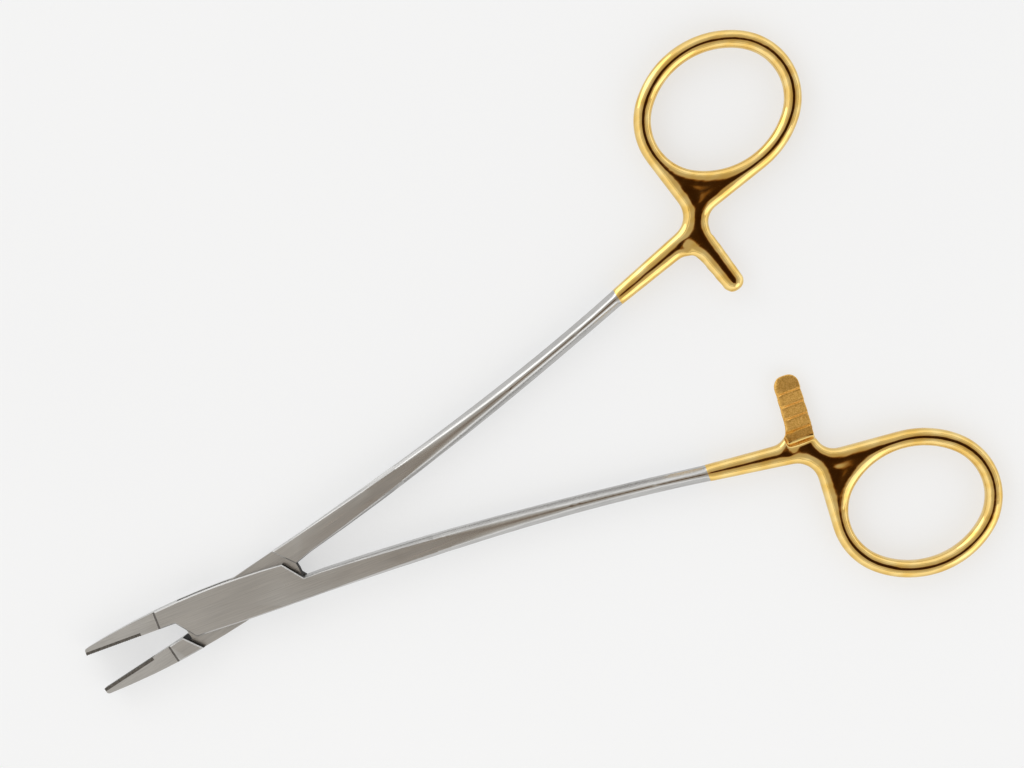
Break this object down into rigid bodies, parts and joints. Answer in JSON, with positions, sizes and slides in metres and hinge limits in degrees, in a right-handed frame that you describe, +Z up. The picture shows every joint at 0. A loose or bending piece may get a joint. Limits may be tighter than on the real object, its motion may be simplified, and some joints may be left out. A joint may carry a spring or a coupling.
{
  "type": "surgical needle holder",
  "caption": "Box-lock needle holder with hard jaw inserts, slim shanks, ratchet bars and plated finger rings, shown part open.",
  "frame": {"origin": "under the pivot, on the flat underside of the box", "axes": "+X along the centre line of the box arm towards its ring, +Y across the instrument towards the box arm's jaw, +Z up along the pivot"},
  "size_m": [0.1797, 0.1125, 0.0048],
  "materials": {
    "satin_steel": "satin ground stainless steel; rings, ratchets and the ends of the shanks are plated in polished gold",
    "pin_steel": "stainless steel, ground flush with the box",
    "hard_carbide": "dark sintered tungsten carbide, finely toothed"
  },
  "bodies": {
    "box_side": {"box_arm": "satin_steel", "pivot_pin": "pin_steel", "upper_jaw_insert": "hard_carbide"},
    "tongue_side": {"tongue_arm": "satin_steel", "lower_jaw_insert": "hard_carbide"}
  },
  "joints": [
    {"name": "box_lock", "type": "hinge", "parent": "box_side", "child": "tongue_side", "pos_m": [0, 0, 0.0024], "axis": [0, 0, 1], "range_deg": [-12.6, 27.4]}
  ]
}
